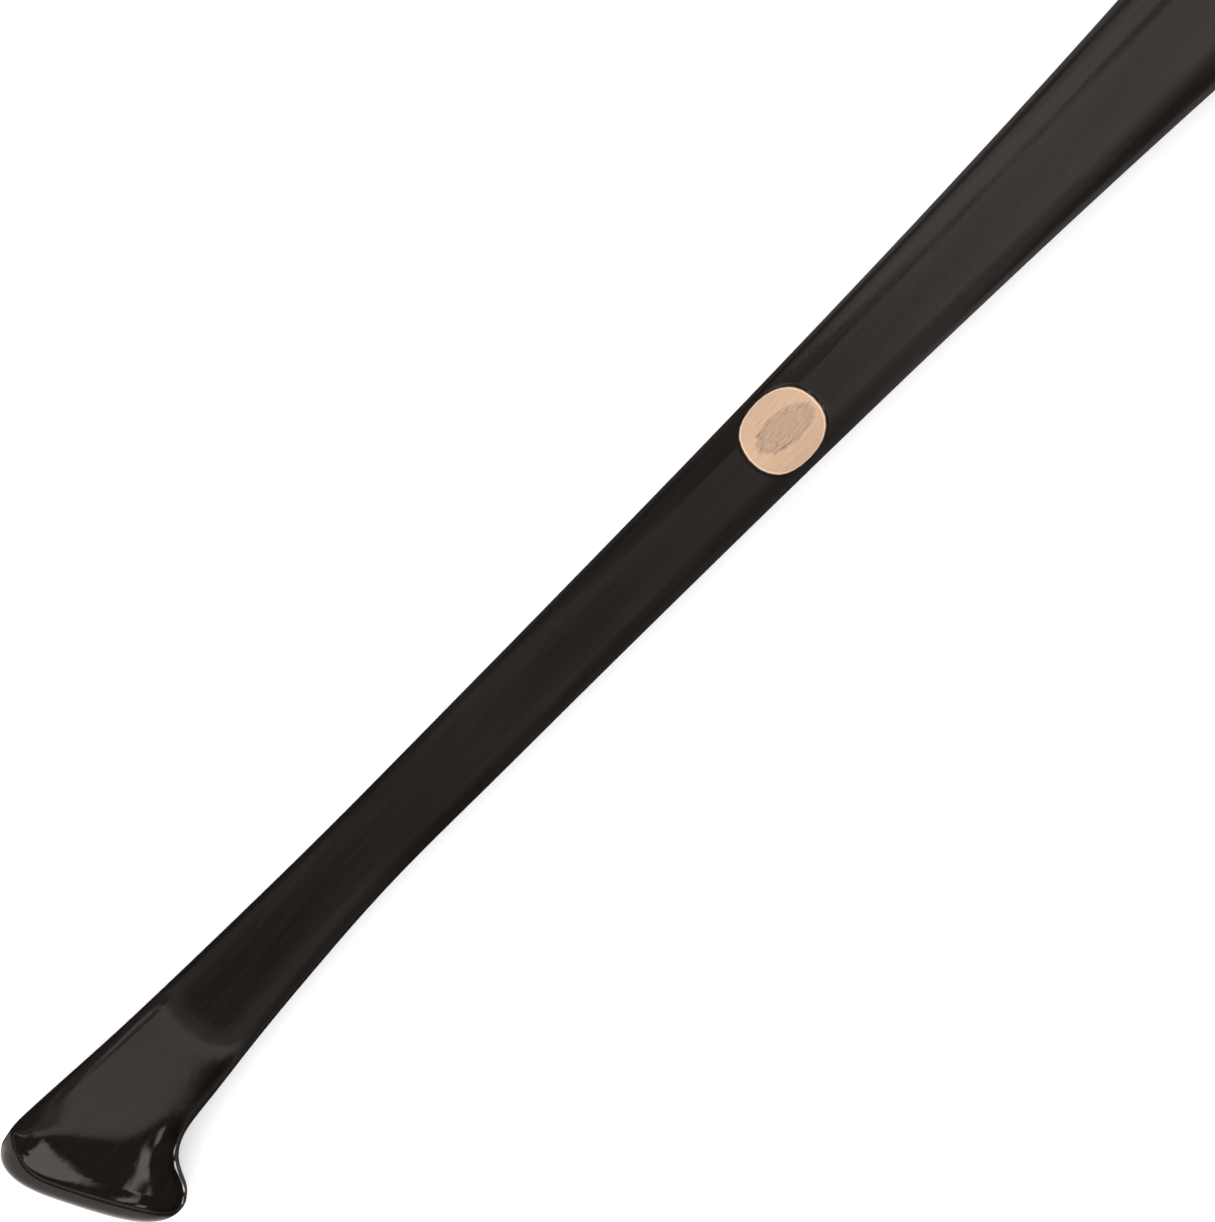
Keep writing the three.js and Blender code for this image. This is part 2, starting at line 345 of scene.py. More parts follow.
@dataclass
class Skin:
    """Rings of points on the bat's outside, with a round window that is meshed in loops.

    The rings stop at the edges of a rectangular block of quads around the window. Loops run from
    the block's edge to the window's outline, closer together towards the outline.
    """

    shape: BatShape
    segments: int
    rings_per_station: int
    ring_step: float
    dome_rings: int
    cup_rings: int
    end_rings: int = 12
    lip_rings: int = 7
    mouth_rings: int = 2
    lip: float = 1.2 * MM
    lacquered_depth: float = 3.2 * MM
    window_x: float = 304.2 * MM
    window_length: float = 25.8 * MM
    window_width: float = 27.0 * MM
    block_length: float = 33.0 * MM
    block_width: float = 34.0 * MM
    waves: tuple[tuple[float, float, float], ...] = (
        (0.006, 2.0, 0.6), (0.005, 3.0, 2.1), (0.003, 7.0, 4.0),
        (0.0022, 23.0, 0.0), (0.0016, 37.0, 1.3),
    )
    loops: int = 14
    closing_up: float = 2.4
    spreading_out: float = 2.0

    def angles(self) -> Grid:
        """Directions of a ring's points."""
        return np.arange(self.segments) * (TURN / self.segments)

    def body_numbers(self) -> Grid:
        """Station numbers of the rings between the dome and the rounded end.

        Returns:
            The numbers, evenly spaced over the knob and again over the round part.
        """
        knob_last = len(self.shape.knob) - 1
        last = len(self.shape.station_table()) - 1
        knob = np.linspace(0.0, knob_last, knob_last * self.rings_per_station + 1)
        count = round((last - knob_last) * self.shape.round_step / self.ring_step)
        return np.concatenate([knob, np.linspace(knob_last, last, count + 1)[1:]])

    def base(self) -> tuple[Grid, Grid]:
        """The slanted base of the knob.

        Returns:
            Its middle and its outward normal.
        """
        palm_x, palm_y, hook_x, hook_y, _ = self.shape.knob[0].row()
        middle = np.array([(palm_x + hook_x) / 2.0, (palm_y + hook_y) / 2.0, 0.0])
        return middle, unit(np.array([hook_y - palm_y, palm_x - hook_x, 0.0]))

    def poles(self, depth: float = 0.0) -> Grid:
        """The points that close the skin at the knob and in the cup.

        Args:
            depth: distance under the outside.

        Returns:
            The two points, one a row.
        """
        middle, outward = self.base()
        knob = middle + outward * (self.shape.knob_depth - depth)
        return np.stack([knob, [self.shape.length - self.shape.cup_depth - depth, 0.0, 0.0]])

    def dome(self, widest: Grid) -> Grid:
        """The dome that closes the knob.

        Each ring is the widest one, drawn in towards its middle and pushed out along the base's
        normal, so that the two shares lie on a superellipse, squarer on the two flat faces. These
        go on rising to the crest.

        Args:
            widest: the ring that the dome closes.

        Returns:
            The rings from the pole outwards, without the pole and the widest one.
        """
        middle, outward = self.base()
        steps = np.arange(self.dome_rings, 0, -1) / (self.dome_rings + 1)
        push = np.sin(QUARTER * steps)[:, None, None]
        up = np.sin(self.angles())[None, :, None] ** 2
        power = self.shape.corner_roundness * (1.0 - up) + self.shape.face_roundness * up
        draw = (1.0 - push**power) ** (1.0 / power)
        rings = middle + (widest - middle) * draw + outward * self.shape.knob_depth * push
        rings[..., 2] *= self.shape.knob_half(rings) / self.shape.knob_half(widest)
        return rings

    def end_profile(self) -> Grid:
        """The rings from the rounded end into the cup.

        Quarter circles round the end and the lip, a flat rim joins them, and the cup is a quarter
        of an ellipse.

        Returns:
            Distance along the bat and radius, one row a ring.
        """
        shape = self.shape
        x_end = shape.length
        shoulder = float(shape.radius(np.array(x_end - shape.end_rounding)))
        turn = np.linspace(0.0, QUARTER, self.end_rings + 1)[1:]
        rounding = np.column_stack([
            x_end - shape.end_rounding * (1.0 - np.sin(turn)),
            shoulder - shape.end_rounding * (1.0 - np.cos(turn)),
        ])
        turn = np.linspace(0.0, QUARTER, self.lip_rings)
        lip = np.column_stack([
            x_end - self.lip * (1.0 - np.cos(turn)),
            shape.cup_radius + self.lip * (1.0 - np.sin(turn)),
        ])
        depth = np.linspace(self.lip, self.lacquered_depth, self.mouth_rings + 1)[1:]
        first = math.asin(self.lacquered_depth / shape.cup_depth)
        turn = np.linspace(first, QUARTER, self.cup_rings + 1)[1:-1]
        depth = np.concatenate([depth, shape.cup_depth * np.sin(turn)])
        share = depth / shape.cup_depth
        cup = np.column_stack([x_end - depth, shape.cup_radius * np.sqrt(1.0 - share**2)])
        return np.vstack([rounding, lip, cup])

    def surface(self) -> tuple[Grid, Grid]:
        """The outside from the dome into the cup.

        Returns:
            Rings of points, and the outward normals there.
        """
        angles = self.angles()
        body = self.shape.point(self.body_numbers()[:, None], angles[None, :])
        x, radius = self.end_profile().T
        end = np.stack(np.broadcast_arrays(
            x[:, None], radius[:, None] * np.cos(angles), radius[:, None] * np.sin(angles)
        ), axis=-1)
        rings = np.concatenate([self.dome(body[0]), body, end])
        around = np.roll(rings, -1, axis=1) - np.roll(rings, 1, axis=1)
        pole = np.broadcast_to(self.poles()[0], rings[:1].shape)
        padded = np.concatenate([pole, rings, rings[-1:]])
        return rings, unit(np.cross(around, padded[2:] - padded[:-2]))

    def lacquered_rings(self) -> int:
        """How many rings the film covers."""
        end = self.end_rings + self.lip_rings + self.mouth_rings
        return self.dome_rings + len(self.body_numbers()) + end

    def block(self) -> tuple[int, int, int, int]:
        """The block of quads around the window.

        Returns:
            Its first and last ring and its first and last segment.
        """
        knob_last = len(self.shape.knob) - 1
        x = self.shape.point(self.body_numbers(), np.array(QUARTER))[:, 0]
        x[: knob_last * self.rings_per_station] = 0.0
        rings = np.abs(x[:, None] - self.window_x - np.array([-0.5, 0.5]) * self.block_length)
        first, last = rings.argmin(axis=0) + self.dome_rings
        radius = float(self.shape.radius(np.array(self.window_x)))
        reach = round(0.5 * self.block_width / radius / (TURN / self.segments))
        top = self.segments // 4
        return int(first), int(last), top - reach, top + reach

    def block_edge(self) -> Grid:
        """The block's edge, anticlockwise seen from outside.

        Returns:
            Ring and segment numbers, one row a point.
        """
        first, last, low, high = self.block()
        rings, segments = np.arange(first, last), np.arange(low, high)
        return np.concatenate([
            np.column_stack([np.full(len(segments), last), segments[::-1] + 1]),
            np.column_stack([rings[::-1] + 1, np.full(len(rings), low)]),
            np.column_stack([np.full(len(segments), first), segments]),
            np.column_stack([rings, np.full(len(rings), high)]),
        ])

    def outline(self, direction: Grid) -> Grid:
        """The window's outline: an ellipse with a few low waves, left by the mask's edge.

        Args:
            direction: angles from the +X side of the window's middle.

        Returns:
            Distances along the bat and round it from the window's middle.
        """
        waves = sum(size * np.sin(count * direction + phase) for size, count, phase in self.waves)
        reach = 0.5 * (1.0 + waves)
        return np.stack([
            self.window_length * reach * np.cos(direction),
            self.window_width * reach * np.sin(direction),
        ], axis=-1)

    def sunk(self, flat: Grid, depth: Union[float, Grid]) -> Grid:
        """Places round the window, rolled onto the bat and sunk under its outside.

        Args:
            flat: distances along the bat and round it from the window's middle.
            depth: distances under the outside, or one for all.

        Returns:
            The points in the bat's space.
        """
        x = self.window_x + flat[..., 0]
        number, angle = self.shape.number_at(x), QUARTER - flat[..., 1] / self.shape.radius(x)
        outward = self.shape.normal(number, angle)
        return self.shape.point(number, angle) - outward * np.asarray(depth)[..., None]

    def window_loops(self, inner_loops: int) -> tuple[Grid, Grid]:
        """Loops of flat places from the block's edge, which is left out, towards the middle.

        Between the edge and the outline the loops close up by a power of their number. Inside the
        outline they shrink towards the middle, closely spaced at first, by another power.

        Args:
            inner_loops: number of loops inside the outline.

        Returns:
            The places (loop, place, 2), and their distances inside the outline (loop, place).
        """
        edge = self.block_edge()
        numbers = self.body_numbers()[edge[:, 0] - self.dome_rings]
        along = self.shape.point(numbers, np.array(QUARTER))[:, 0]
        around = (QUARTER - self.angles()[edge[:, 1]]) * self.shape.radius(along)
        start = np.column_stack([along - self.window_x, around])
        size = np.array([self.window_length, self.window_width])
        scaled = start / size
        direction = np.arctan2(scaled[:, 1], scaled[:, 0])
        outline = self.outline(direction)
        share = 1.0 - (1.0 - np.arange(1, self.loops + 1) / self.loops) ** self.closing_up
        outside = start + (outline - start) * share[:, None, None]
        gap = -np.linalg.norm(outside - outline, axis=-1)
        shrink = 1.0 - (np.arange(1, inner_loops + 1) / (inner_loops + 1)) ** self.spreading_out
        inside = outline * shrink[:, None, None]
        depth = np.linalg.norm(outline - inside, axis=-1)
        return np.concatenate([outside, inside]), np.concatenate([gap, depth])

    def ring_faces(self, ring_count: int) -> Grid:
        """Quads between the rings, without those of the block around the window.

        Args:
            ring_count: how many rings are joined.

        Returns:
            Vertex numbers, four a row.
        """
        ring, segment = np.meshgrid(
            np.arange(ring_count - 1), np.arange(self.segments), indexing="ij"
        )
        first, last, low, high = self.block()
        block = (ring >= first) & (ring < last) & (segment >= low) & (segment < high)
        ring, segment = ring[~block], segment[~block]
        after = (segment + 1) % self.segments
        a = ring * self.segments
        b = a + self.segments
        return np.column_stack([a + segment, a + after, b + after, b + segment])

    def fan(self, ring: int, pole: int, outwards: bool) -> Grid:
        """Triangles from a ring to a pole.

        Args:
            ring: the ring's number.
            pole: the pole's vertex number.
            outwards: whether it is at the knob's end.

        Returns:
            Vertex numbers, three a row.
        """
        here = np.arange(self.segments)
        after = (here + 1) % self.segments
        order = (after, here) if outwards else (here, after)
        start = ring * self.segments
        return np.column_stack([np.full(self.segments, pole), start + order[0], start + order[1]])

    def loop_faces(self, loop_start: int, loop_count: int) -> Grid:
        """Quads from the block's edge through the loops, whose points follow each other.

        Args:
            loop_start: number of the loops' first vertex.
            loop_count: how many loops there are.

        Returns:
            Vertex numbers, four a row.
        """
        edge = self.block_edge()
        size = len(edge)
        first = edge[:, 0] * self.segments + edge[:, 1]
        loops = loop_start + np.arange(loop_count)[:, None] * size + np.arange(size)[None, :]
        rows = np.vstack([first[None, :], loops])
        after = np.roll(rows, -1, axis=1)
        return np.stack([rows[:-1], after[:-1], after[1:], rows[1:]], axis=-1).reshape(-1, 4)


def both_walls(faces: Grid, count: int) -> Grid:
    """Faces of a wall and, the other way round, those of a second wall that follows it.

    Args:
        faces: the first wall's faces.
        count: how many vertices a wall has.

    Returns:
        Vertex numbers, one face a row.
    """
    return np.vstack([faces, faces[:, ::-1] + count])


def add_object(name: str, data: bpy.types.ID) -> bpy.types.Object:
    """Puts a mesh, a light or a camera into the scene.

    Args:
        name: the object's name.
        data: what it shows.

    Returns:
        The object.
    """
    made = bpy.data.objects.new(name, data)
    bpy.context.scene.collection.objects.link(made)
    return made


@dataclass
class MeshPiece:
    """Vertices and faces on their way into a Blender object."""

    name: str
    vertices: Grid
    quads: Grid
    triangles: Grid
    attributes: dict[str, Grid] = field(default_factory=dict)

    def used_only(self) -> "MeshPiece":
        """Leaves out the vertices that no face uses.

        Returns:
            The same piece with its vertices renumbered.
        """
        used = np.zeros(len(self.vertices), dtype=bool)
        used[self.quads.ravel()] = True
        used[self.triangles.ravel()] = True
        renumber = np.cumsum(used) - 1
        kept = {name: values[used] for name, values in self.attributes.items()}
        return MeshPiece(
            self.name, self.vertices[used], renumber[self.quads], renumber[self.triangles], kept
        )

    def build(self, lie: Lie) -> bpy.types.Object:
        """Puts the piece into the scene, smooth shaded.

        Args:
            lie: how the bat lies in the frame.

        Returns:
            The new object, at the origin.
        """
        piece = self.used_only()
        mesh = bpy.data.meshes.new(piece.name)
        corners = np.concatenate([piece.quads.ravel(), piece.triangles.ravel()])
        sizes = np.concatenate([np.full(len(piece.quads), 4), np.full(len(piece.triangles), 3)])
        starts = np.concatenate([[0], np.cumsum(sizes)[:-1]])
        mesh.vertices.add(len(piece.vertices))
        mesh.vertices.foreach_set("co", lie.place(piece.vertices).ravel().astype(np.float32))
        mesh.loops.add(len(corners))
        mesh.loops.foreach_set("vertex_index", corners.astype(np.int32))
        mesh.polygons.add(len(sizes))
        mesh.polygons.foreach_set("loop_start", starts.astype(np.int32))
        mesh.update(calc_edges=True)
        mesh.validate()
        mesh.polygons.foreach_set("use_smooth", np.ones(len(sizes), dtype=bool))
        for name, values in piece.attributes.items():
            layer = mesh.attributes.new(name, "FLOAT", "POINT")
            layer.data.foreach_set("value", values.astype(np.float32))
        return add_object(piece.name, mesh)


# --------------------------------------------------------------------------- shader workbench


class Value:
    """A number that varies over a surface; arithmetic on it adds Math nodes."""

    def __init__(self, bench: "Bench", socket: bpy.types.NodeSocket) -> None:
        """Args:
            bench: the workbench that adds nodes.
            socket: the output that carries the number.
        """
        self.bench = bench
        self.socket = socket

    def math(self, operation: str, *others: "Operand") -> "Value":
        """A Math node on this value and others.

        Args:
            operation: the node's operation.
            others: its further inputs.

        Returns:
            The result.
        """
        values = dict(enumerate((self, *others)))
        node = self.bench.node("ShaderNodeMath", {"operation": operation}, values)
        return Value(self.bench, node.outputs[0])

    def __add__(self, other: "Operand") -> "Value":
        """Sum."""
        return self.math("ADD", other)

    __radd__ = __add__

    def __mul__(self, other: "Operand") -> "Value":
        """Product."""
        return self.math("MULTIPLY", other)

    __rmul__ = __mul__

    def __sub__(self, other: "Operand") -> "Value":
        """Difference."""
        return self.math("SUBTRACT", other)

    def __rsub__(self, other: float) -> "Value":
        """Difference from a number."""
        return self.math("MULTIPLY", -1.0).math("ADD", other)

    def __truediv__(self, other: float) -> "Value":
        """Quotient by a number."""
        return self.math("DIVIDE", other)

    def __pow__(self, power: float) -> "Value":
        """Power."""
        return self.math("POWER", power)

    def between(self, low: float, high: float) -> "Value":
        """A smooth step.

        Args:
            low: where it is 0.
            high: where it is 1; this may be the smaller one.

        Returns:
            The step's height.
        """
        node = self.bench.node(
            "ShaderNodeMapRange",
            {"interpolation_type": "SMOOTHSTEP"},
            {"Value": self, "From Min": low, "From Max": high},
        )
        return Value(self.bench, node.outputs["Result"])

    def inside(self, start: float, full: float, last: float, end: float) -> "Value":
        """1 from full to last, 0 outside start and end, and smooth steps between."""
        return self.between(start, full) * self.between(end, last)

    def hump(self, middle: float, spread: float) -> "Value":
        """1 at the middle and a bell curve about it."""
        away = (self - middle) / spread
        return (away * away * -1.0).math("EXPONENT")


Operand = Union[Value, float]

# Numbers of a Mix node's sockets when it mixes colours.
MIX_FACTOR, MIX_FIRST, MIX_SECOND, MIX_RESULT = 0, 6, 7, 2


@dataclass(frozen=True)
class Streaks:
    """Noise by how many features it has in a millimetre along the grain and across it."""

    along: float
    across: float
    detail: float = 2.0
    roughness: float = 0.5


class Bench:
    """Adds nodes to a tree, with their settings first and then their values and links."""

    def __init__(self, tree: bpy.types.NodeTree) -> None:
        """Args:
            tree: the tree, which is emptied.
        """
        self.tree = tree
        tree.nodes.clear()

    def node(
        self,
        kind: str,
        settings: Optional[dict[str, Any]] = None,
        inputs: Optional[dict[Union[str, int], Any]] = None,
    ) -> bpy.types.Node:
        """Adds a node.

        Args:
            kind: the node's type.
            settings: its properties; "stops" are a ramp's positions and greys.
            inputs: values, sockets or Values for its inputs, by name or number.

        Returns:
            The node.
        """
        node = self.tree.nodes.new(kind)
        for name, value in (settings or {}).items():
            if name == "stops":
                self.fill_ramp(node.color_ramp, value)
            else:
                setattr(node, name, value)
        for name, value in (inputs or {}).items():
            socket = node.inputs[name]
            source = value.socket if isinstance(value, Value) else value
            if isinstance(source, bpy.types.NodeSocket):
                self.tree.links.new(source, socket)
            else:
                socket.default_value = source
        return node

    @staticmethod
    def fill_ramp(ramp: bpy.types.ColorRamp, stops: Stops) -> None:
        """Sets a ramp's stops.

        Args:
            ramp: the ramp.
            stops: the position and grey of each.
        """
        while len(ramp.elements) < len(stops):
            ramp.elements.new(1.0)
        for element, (position, grey) in zip(ramp.elements, stops):
            element.position = position
            element.color = (grey, grey, grey, 1.0)

    def ramp(self, value: Value, stops: Stops) -> Value:
        """A piecewise straight curve of a value between 0 and 1."""
        node = self.node("ShaderNodeValToRGB", {"stops": stops}, {"Fac": value})
        return Value(self, node.outputs["Color"])

    def mix(self, factor: Operand, first: Any, second: Any) -> bpy.types.NodeSocket:
        """Mixes two colours.

        Args:
            factor: 0 gives the first and 1 the second.
            first: a colour or a colour socket.
            second: a colour or a colour socket.

        Returns:
            The mixed colour's socket.
        """
        a, b = [(*c, 1.0) if isinstance(c, tuple) else c for c in (first, second)]
        inputs = {MIX_FACTOR: factor, MIX_FIRST: a, MIX_SECOND: b}
        return self.node("ShaderNodeMix", {"data_type": "RGBA"}, inputs).outputs[MIX_RESULT]

    def noise(self, grain: bpy.types.NodeSocket, streaks: Streaks) -> Value:
        """Noise that is drawn out along the grain.

        Args:
            grain: place in millimetres, with X along the grain.
            streaks: the noise's fineness.

        Returns:
            The noise, around 0.5.
        """
        scale = (streaks.along, streaks.across, streaks.across)
        drawn = self.node("ShaderNodeVectorMath", {"operation": "MULTIPLY"}, {0: grain, 1: scale})
        node = self.node("ShaderNodeTexNoise", {}, {
            "Vector": drawn.outputs[0], "Scale": 1.0,
            "Detail": streaks.detail, "Roughness": streaks.roughness,
        })
        return Value(self, node.outputs["Fac"])

    def parts(self, vector: bpy.types.NodeSocket) -> tuple[Value, Value, Value]:
        """The three components of a vector."""
        node = self.node("ShaderNodeSeparateXYZ", {}, {0: vector})
        return tuple(Value(self, output) for output in node.outputs)

    def millimetres(self, place: Matrix) -> bpy.types.NodeSocket:
        """Object coordinates in millimetres in a pattern's own frame.

        Args:
            place: the frame.

        Returns:
            The coordinates' socket.
        """
        source = self.node("ShaderNodeTexCoord")
        node = self.node(
            "ShaderNodeMapping",
            {"vector_type": "TEXTURE"},
            {
                "Vector": source.outputs["Object"],
                "Location": place.to_translation(),
                "Rotation": place.to_euler(),
                "Scale": (MM, MM, MM),
            },
        )
        return node.outputs[0]

    def attribute(self, name: str) -> Value:
        """A number stored on the mesh."""
        node = self.node("ShaderNodeAttribute", {"attribute_name": name})
        return Value(self, node.outputs["Fac"])

    def bump(self, height: Value) -> bpy.types.NodeSocket:
        """The normal over a height in millimetres."""
        node = self.node("ShaderNodeBump", {}, {"Strength": 1.0, "Distance": MM, "Height": height})
        return node.outputs["Normal"]

    def surface(self, inputs: dict[str, Any]) -> None:
        """Ends the tree in a Principled shader with the given inputs."""
        shader = self.node("ShaderNodeBsdfPrincipled", {}, inputs)
        self.node("ShaderNodeOutputMaterial", {}, {"Surface": shader.outputs["BSDF"]})


def new_material(name: str) -> tuple[bpy.types.Material, Bench]:
    """Starts a material.

    Args:
        name: the material's name.

    Returns:
        The material, and the bench that fills its tree.
    """
    material = bpy.data.materials.new(name)
    material.use_nodes = True
    return material, Bench(material.node_tree)


# --------------------------------------------------------------------------- finishes

EDGE = "inside_window"


@dataclass(frozen=True)
class MapleFinish:
    """Bare sanded maple: straight fibres, faint growth rings and short ray flecks."""

    pale: Color = (0.612, 0.406, 0.272)
    deep: Color = (0.540, 0.344, 0.224)
    fleck: Color = (0.40, 0.245, 0.145)
    rim_stain: Color = (0.022, 0.009, 0.004)
    # Colour of the painted highlight: a thin lighter band just inside the window's outline.
    painted_rim_highlight: Color = (0.93, 0.74, 0.58)
    ring_width: float = 3.4
    roughness: float = 0.52
    wander: Streaks = Streaks(0.01, 0.06)
    fibres: Streaks = Streaks(0.045, 1.3, 5.0, 0.62)
    threads: Streaks = Streaks(0.12, 6.0, 3.0, 0.6)
    flecks: Streaks = Streaks(0.42, 5.0)
    relief: Streaks = Streaks(0.06, 3.0, 4.0, 0.6)
    pores: Streaks = Streaks(0.5, 9.0)
    ragged: Streaks = Streaks(1.2, 1.2, 3.0, 0.6)
    sheen: Streaks = Streaks(0.1, 2.0)
    relief_height: float = 0.012
    pore_height: float = 0.006

    def color(self, bench: Bench, grain: bpy.types.NodeSocket) -> bpy.types.NodeSocket:
        """Colour of the wood.

        Args:
            bench: where the nodes go.
            grain: place in millimetres, with X along the grain.

        Returns:
            The colour's socket.
        """
        _, across, depth = bench.parts(grain)
        wander = bench.noise(grain, self.wander)
        ring = ((depth * 0.85 + across * 0.5) / self.ring_width + wander * 5.0).math("FRACT")
        late = ring.between(0.55, 0.97) * ring.between(1.0, 0.97)
        fibre = bench.noise(grain, self.fibres).between(0.3, 0.72)
        thread = bench.noise(grain, self.threads)
        tone = fibre * 0.6 + late * 0.22 + thread * 0.3 - 0.1
        base = bench.mix(tone, self.pale, self.deep)
        fleck = bench.noise(grain, self.flecks).between(0.66, 0.74)
        return bench.mix(fleck * 0.55, base, self.fleck)

    def height(self, bench: Bench, grain: bpy.types.NodeSocket) -> Value:
        """Relief of the fibres, in millimetres."""
        fibre, pore = bench.noise(grain, self.relief), bench.noise(grain, self.pores)
        return fibre * self.relief_height + pore * self.pore_height

    def material(self, grain_frame: Matrix) -> bpy.types.Material:
        """The wood, darkened along the window's outline where the lacquer's edge has bled, with a
        painted highlight in a thin lighter band just inside that dark line.

        Args:
            grain_frame: the frame of the grain.

        Returns:
            The material.
        """
        material, bench = new_material("maple_bare")
        grain = bench.millimetres(grain_frame)
        inside = bench.attribute(EDGE)
        reach = inside + bench.noise(grain, self.ragged) * 0.3 - 0.15
        wood = self.color(bench, grain)
        # Painted highlight: a lighter band of wood just inside the window's dark outline, standing
        # in for light on the film's edge.
        with_painted_highlight = bench.mix(reach.hump(0.68, 0.22) * 0.6, wood, self.painted_rim_highlight)
        stained = bench.mix(reach.between(0.44, 0.24) * 0.95, with_painted_highlight, self.rim_stain)
        bench.surface({
            "Base Color": stained,
            "Roughness": bench.noise(grain, self.sheen) * 0.12 + self.roughness,
            "IOR": 1.45,
            "Normal": bench.bump(self.height(bench, grain)),
        })
        return material


@dataclass(frozen=True)
class InkFinish:
    """Ink soaked into the bare maple, drawn out along the fibres, with a dark broken rim."""

    wood: MapleFinish
    stain: Color = (0.40, 0.275, 0.19)
    rim: Color = (0.17, 0.115, 0.085)
    half_length: float = 10.4
    half_width: float = 5.2
    offset: float = 1.0
    turn: float = math.radians(-9.0)
    bleed: Streaks = Streaks(0.16, 1.6, 3.0, 0.6)
    blots: Streaks = Streaks(0.3, 0.5)
    gaps: Streaks = Streaks(0.22, 0.5)
    threads: Streaks = Streaks(0.26, 2.0, 3.0, 0.65)
    bare: Streaks = Streaks(0.22, 1.8)
    tail: Streaks = Streaks(0.12, 2.4)

    def material(self, grain_frame: Matrix) -> bpy.types.Material:
        """The wood's colour under an oval stain.

        The stain's reach is the distance from its middle as a share of an ellipse, roughened by
        noise that is drawn out along the fibres.

        Args:
            grain_frame: the frame of the grain.

        Returns:
            The material.
        """
        material, bench = new_material("ink_in_maple")
        grain = bench.millimetres(grain_frame)
        x, y, _ = bench.parts(grain)
        along = (x - self.offset) * math.cos(self.turn) + y * math.sin(self.turn)
        across = y * math.cos(self.turn) - (x - self.offset) * math.sin(self.turn)
        ellipse = along * along / self.half_length**2 + across * across / self.half_width**2
        bleed, blot = bench.noise(grain, self.bleed), bench.noise(grain, self.blots)
        reach = ellipse**0.5 + bleed * 0.34 + blot * 0.22 - 0.28
        body = reach.between(1.0, 0.86)
        broken = bench.noise(grain, self.gaps).between(0.42, 0.62)
        knob_side = along.between(4.0, -9.0)
        rim = reach.hump(0.9, 0.07) * broken * (knob_side * 0.75 + 0.25)
        threads = bench.noise(grain, self.threads).between(0.52, 0.66) * reach.between(1.08, 0.9)
        bare = bench.noise(grain, self.bare).between(0.48, 0.62)
        tail = bench.noise(grain, self.tail).between(0.56, 0.7)
        drawn = tail * along.inside(-12.0, -10.0, -8.5, -6.0) * across.hump(0.0, 1.4)
        wood = self.wood.color(bench, grain)
        soaked = bench.mix(body * (0.82 - bare * 0.6), wood, self.stain)
        ringed = bench.mix(rim * 0.6 + threads * 0.68 + drawn * 0.45, soaked, self.rim)
        bench.surface({
            "Base Color": ringed,
            "Roughness": body * 0.06 + self.wood.roughness + 0.05,
            "IOR": 1.45,
            "Normal": bench.bump(self.wood.height(bench, grain)),
        })
        return material


@dataclass(frozen=True)
class LacquerFinish:
    """Gloss black lacquer over wood, through which the fibres still show as long low ridges."""

    black: Color = (0.0042, 0.0030, 0.0026)
    brown: Color = (0.0085, 0.0052, 0.0038)
    roughness: float = 0.035
    ridges: Streaks = Streaks(0.035, 0.75, 3.0)
    threads: Streaks = Streaks(0.11, 3.2)
    peel: Streaks = Streaks(0.55, 0.7, 1.0)
    specks: Streaks = Streaks(1.1, 1.1, 0.0)
    smears: Streaks = Streaks(0.02, 0.09, 3.0, 0.6)
    ridge_height: float = 0.022
    thread_height: float = 0.011
    peel_height: float = 0.0035
    speck_height: float = 0.004

    def material(self, grain_frame: Matrix) -> bpy.types.Material:
        """The lacquer.

        Its height is the sum of ridges and threads along the grain, of the film's own orange peel
        and of a few specks of dust under it.

        Args:
            grain_frame: the frame of the grain.

        Returns:
            The material.
        """
        material, bench = new_material("lacquer_black")
        grain = bench.millimetres(grain_frame)
        ridge, thread = bench.noise(grain, self.ridges), bench.noise(grain, self.threads)
        peel = bench.noise(grain, self.peel)
        speck = bench.noise(grain, self.specks).between(0.80, 0.86)
        height = ridge * self.ridge_height + thread * self.thread_height
        height = height + peel * self.peel_height + speck * self.speck_height
        smear = bench.noise(grain, self.smears).between(0.4, 0.75)
        bench.surface({
            "Base Color": bench.mix(ridge.between(0.35, 0.65), self.black, self.brown),
            "Roughness": smear * 0.035 + thread * 0.02 + self.roughness,
            "IOR": 1.5,
            "Normal": bench.bump(height),
        })
        return material


# --------------------------------------------------------------------------- the bat's pieces


@dataclass
class MapleBody:
    """The billet: the whole skin of the bat, set in under the film, with the cup in its end."""

    shape: BatShape
    depth: float = 0.22 * MM
    far_out: float = -20.0
    skin: Skin = field(init=False)

    def __post_init__(self) -> None:
        """Chooses the fineness of the skin."""
        self.skin = Skin(
            self.shape, segments=96, rings_per_station=7, ring_step=4.2 * MM, dome_rings=20,
            cup_rings=16, loops=8,
        )

    def piece(self) -> MeshPiece:
        """The closed mesh.

        Returns:
            The piece, with the distance inside the window's outline on each vertex.
        """
        skin = self.skin
        rings, normals = skin.surface()
        flat, inside = skin.window_loops(inner_loops=12)
        loops = skin.sunk(flat, self.depth)
        vertices = np.vstack([
            (rings - normals * self.depth).reshape(-1, 3),
            loops.reshape(-1, 3),
            skin.sunk(np.zeros((1, 2)), self.depth),
            skin.poles(self.depth),
        ])
        ring_points = rings.shape[0] * skin.segments
        centre = ring_points + loops.shape[0] * loops.shape[1]
        last_loop = centre - loops.shape[1] + np.arange(loops.shape[1])
        disc = np.column_stack([np.full(len(last_loop), centre), last_loop, np.roll(last_loop, -1)])
        edge = np.full(len(vertices), self.far_out)
        edge[ring_points:centre] = inside.ravel() / MM
        edge[centre] = skin.window_length / 2.0 / MM
        return MeshPiece(
            "maple_body_visual",
            vertices,
            np.vstack([skin.ring_faces(len(rings)), skin.loop_faces(ring_points, len(loops))]),
            np.vstack([
                disc,
                skin.fan(0, centre + 1, outwards=True),
                skin.fan(len(rings) - 1, centre + 2, outwards=False),
            ]),
            {EDGE: edge},
        )


